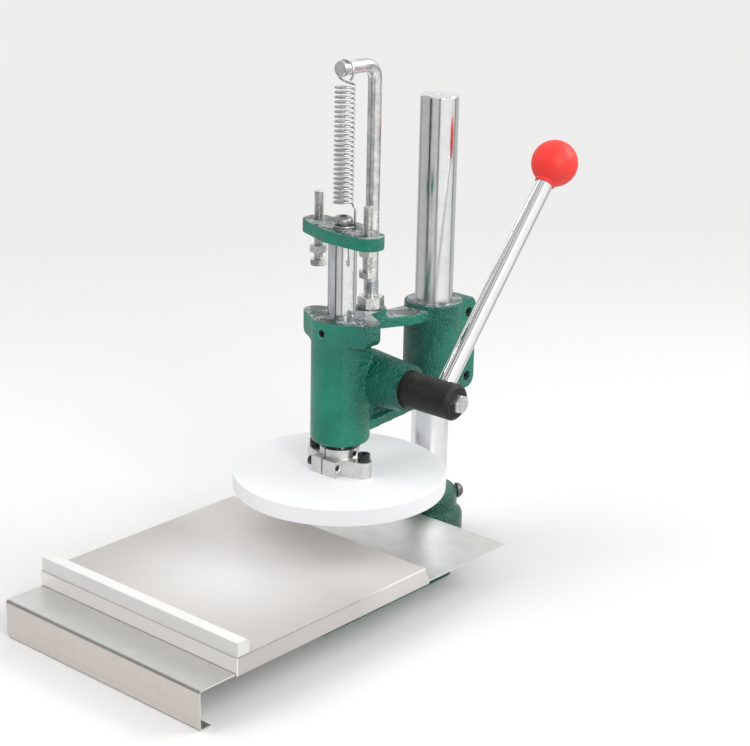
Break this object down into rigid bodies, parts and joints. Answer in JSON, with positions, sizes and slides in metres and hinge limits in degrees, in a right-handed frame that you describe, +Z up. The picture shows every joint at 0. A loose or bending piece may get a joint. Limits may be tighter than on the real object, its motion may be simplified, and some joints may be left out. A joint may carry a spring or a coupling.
{
  "type": "pizza dough press",
  "caption": "Bench press for pizza dough: a lever turns a pinion that drives a rack ram and round plate down on a sliding mould, and a spring lifts it.",
  "frame": {"origin": "on the bench under the ram's axis", "axes": "+Z up, +Y from the ram to the column, +X towards the lever"},
  "size_m": [0.2726, 0.5555, 0.5407],
  "materials": {
    "iron_enamel": "glossy hammered green enamel on cast iron",
    "chrome": "ground and chromed",
    "zinc_bolt": "zinc plated, a little worn",
    "stainless": "satin stainless sheet",
    "die_coat": "satin warm grey coat on sheet metal",
    "core_board": "board",
    "white_plastic": "white plastic",
    "white_coat": "smooth white coat on aluminium",
    "nickel": "satin",
    "spring_steel": "bright spring wire",
    "bronze": "turned",
    "black_oxide": "blackened steel",
    "black_steel": "black oxide screws",
    "red_plastic": "glossy red"
  },
  "bodies": {
    "stand": {"base_casting": "iron_enamel", "base_lock_bolt": "zinc_bolt", "tray_sheet": "stainless", "tray_screws": "zinc_bolt", "column": "chrome"},
    "head": {"head_casting": "iron_enamel", "clamp_screws": "black_steel", "ram_guide_screw": "black_steel", "spring_rod": "chrome", "spring_rod_nut": "zinc_bolt", "return_spring": "spring_steel", "pinion_bush": "bronze"},
    "ram": {"ram": "chrome", "yoke": "iron_enamel", "ram_top_screw": "zinc_bolt", "collar": "nickel", "collar_clamp_screw": "black_steel", "collar_grub_screw": "black_steel", "collar_plate_screws": "black_steel", "upper_plate": "white_coat", "stop_bolt_left": "zinc_bolt", "stop_nut_left": "zinc_bolt", "stop_bolt_right": "zinc_bolt", "stop_nut_right": "zinc_bolt"},
    "lever": {"pinion_shaft": "black_oxide", "pinion_end_washer": "zinc_bolt", "pinion_end_screw": "black_steel", "lever_rod": "chrome", "lever_clamp_bolt": "zinc_bolt", "ball_knob": "red_plastic"},
    "drawer": {"lower_die": "die_coat", "die_core": "core_board", "pull_bar": "white_plastic", "pull_bar_screws": "zinc_bolt"}
  },
  "joints": [
    {"name": "head_height", "type": "slide", "parent": "stand", "child": "head", "axis": [0, 0, 1], "range_m": [0, 0.12]},
    {"name": "ram_slide", "type": "slide", "parent": "head", "child": "ram", "axis": [0, 0, -1], "range_m": [0, 0.0435], "stiffness_N_per_m": 1500, "springref_m": -0.04, "deforming": ["return_spring"]},
    {"name": "lever_turn", "type": "hinge", "parent": "head", "child": "lever", "pos_m": [0, 0.027, 0.216], "axis": [1, 0, 0], "range_deg": [0, 147]},
    {"name": "die_slide", "type": "slide", "parent": "stand", "child": "drawer", "axis": [0, 1, 0], "range_m": [-0.04, 0.126]}
  ],
  "couplings": [
    {"joint": "lever_turn", "follows": "ram_slide", "rad_per_m": 58.824}
  ]
}
